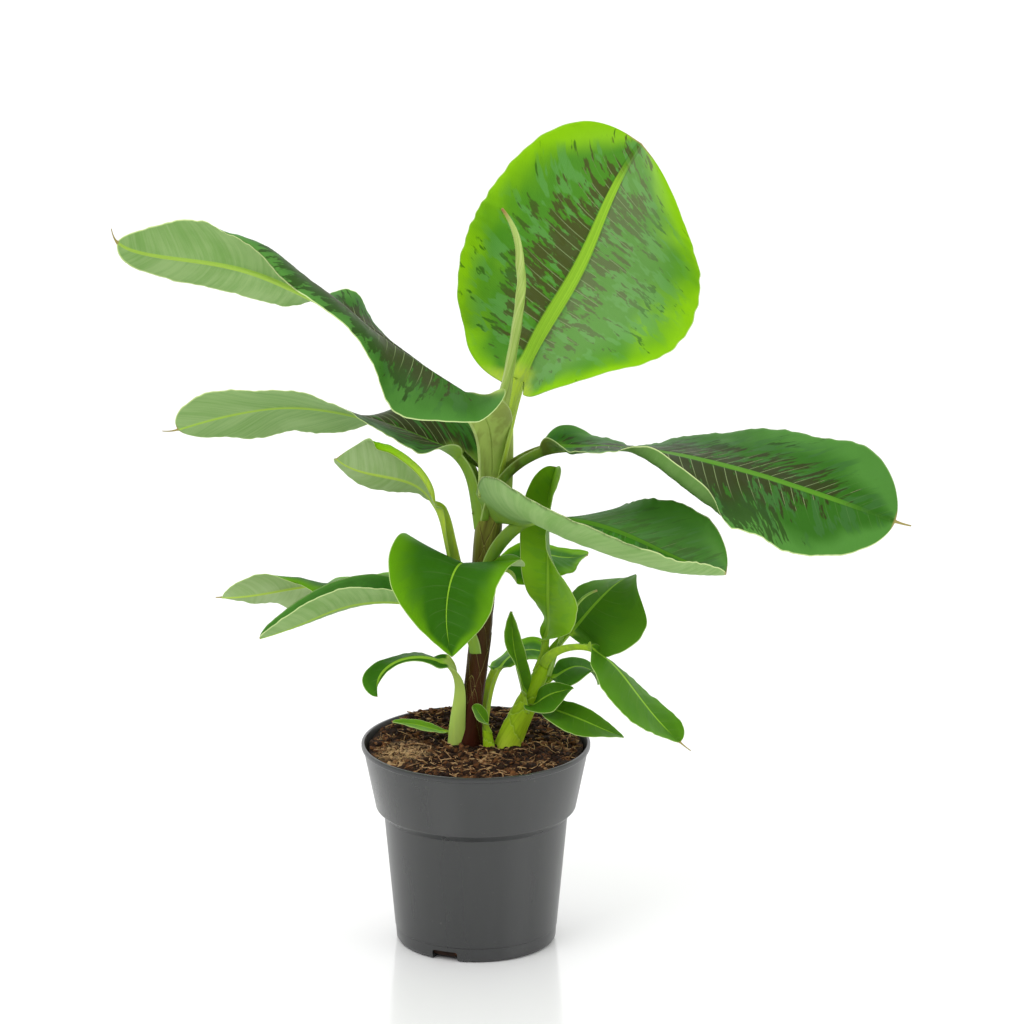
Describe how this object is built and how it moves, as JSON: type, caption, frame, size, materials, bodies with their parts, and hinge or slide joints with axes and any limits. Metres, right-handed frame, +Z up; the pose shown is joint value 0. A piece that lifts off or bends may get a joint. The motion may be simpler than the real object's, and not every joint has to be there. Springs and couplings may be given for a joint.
{
  "type": "potted banana plant",
  "caption": "Young banana plant with a brown sheath stem, broad arching leaves, a rolled new leaf and green suckers, in a plain grey nursery pot filled with soil.",
  "frame": {"origin": "centre of the pot's flat underside, where it stands on the floor", "axes": "+Z up along the pot's axis, +X to the right and +Y away from the viewer of the picture"},
  "size_m": [0.5805, 0.3082, 0.6143],
  "materials": {
    "green_leaf": "satin",
    "dark_leaf": "satin",
    "young_leaf": "satin",
    "rolled_leaf": "satin",
    "brown_sheath": "satin",
    "green_sheath": "satin",
    "potting_soil": "matte",
    "pot_plastic": "satin"
  },
  "bodies": {
    "root": {"stem_main": "brown_sheath", "stem_sucker": "green_sheath", "stem_shoot": "green_sheath", "leaf_top": "green_leaf", "leaf_upper_left": "dark_leaf", "leaf_big_right": "dark_leaf", "leaf_middle_left": "dark_leaf", "leaf_back": "dark_leaf", "leaf_rolled_right": "dark_leaf", "leaf_short_left": "green_leaf", "leaf_front": "green_leaf", "leaf_low_left_back": "green_leaf", "leaf_low_left_front": "dark_leaf", "leaf_right_back": "green_leaf", "leaf_right_low": "green_leaf", "leaf_small_left": "young_leaf", "sucker_leaf_tall": "young_leaf", "sucker_leaf_round": "young_leaf", "sucker_leaf_drooping": "young_leaf", "sucker_leaf_upright": "young_leaf", "sucker_leaf_low": "young_leaf", "sucker_leaf_behind": "young_leaf", "sucker_leaf_curled": "young_leaf", "leaf_on_soil": "young_leaf", "shoot_leaf": "young_leaf", "leaf_spear": "rolled_leaf", "sucker_tendril": "rolled_leaf", "soil": "potting_soil", "pot": "pot_plastic"}
  },
  "joints": []
}
